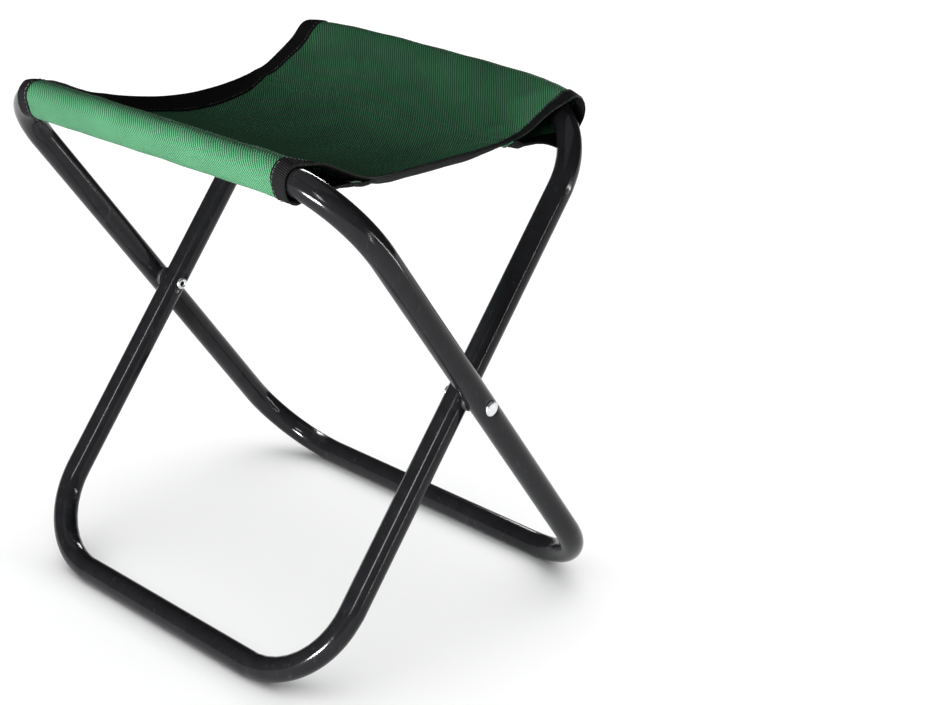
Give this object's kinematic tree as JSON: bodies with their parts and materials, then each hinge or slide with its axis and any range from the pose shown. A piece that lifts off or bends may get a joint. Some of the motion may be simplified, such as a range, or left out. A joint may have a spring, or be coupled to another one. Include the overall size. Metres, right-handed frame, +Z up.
{
  "type": "folding camp stool",
  "caption": "Folding camp stool: crossed loops of round black steel tube on riveted pivots, carrying a sleeved green cloth sling seat with black bound edges.",
  "frame": {"origin": "on the floor under the middle of the stool, with the stool open", "axes": "+Y along the pivot axis and the top bars, +X from the outer loop's top bar to the inner loop's, +Z up"},
  "size_m": [0.301, 0.3844, 0.389],
  "materials": {
    "frame_enamel": "gloss black stove enamel on steel tube",
    "spigot_steel": "bare drawn steel, hidden inside the tube",
    "rivet_steel": "bright nickel plate",
    "spacer_plastic": "matt black nylon",
    "seat_cloth": "coated woven polyester, mid green",
    "binding_tape": "ribbed black woven tape"
  },
  "bodies": {
    "outer_frame": {"outer_frame_tube": "frame_enamel", "outer_frame_joint_spigot": "spigot_steel", "near_pivot_rivet": "rivet_steel", "far_pivot_rivet": "rivet_steel", "near_spacer_washer": "spacer_plastic", "far_spacer_washer": "spacer_plastic"},
    "inner_frame": {"inner_frame_tube": "frame_enamel", "inner_frame_joint_spigot": "spigot_steel"},
    "seat_outer_half": {"seat_cloth_outer_half": "seat_cloth", "near_binding_outer_half": "binding_tape", "far_binding_outer_half": "binding_tape"},
    "seat_inner_half": {"seat_cloth_inner_half": "seat_cloth", "near_binding_inner_half": "binding_tape", "far_binding_inner_half": "binding_tape"}
  },
  "joints": [
    {"name": "fold", "type": "hinge", "parent": "outer_frame", "child": "inner_frame", "pos_m": [0, 0, 0.19497], "axis": [0, -1, 0], "range_deg": [0, 68]},
    {"name": "outer_seat_swing", "type": "hinge", "parent": "outer_frame", "child": "seat_outer_half", "pos_m": [-0.13861, 0, 0.37725], "axis": [0, 1, 0], "range_deg": [0, 51]},
    {"name": "inner_seat_swing", "type": "hinge", "parent": "inner_frame", "child": "seat_inner_half", "pos_m": [0.13861, 0, 0.37725], "axis": [0, -1, 0], "range_deg": [0, 51]}
  ],
  "couplings": [
    {"joint": "outer_seat_swing", "follows": "fold", "ratio": 0.75},
    {"joint": "inner_seat_swing", "follows": "fold", "ratio": 0.75}
  ]
}
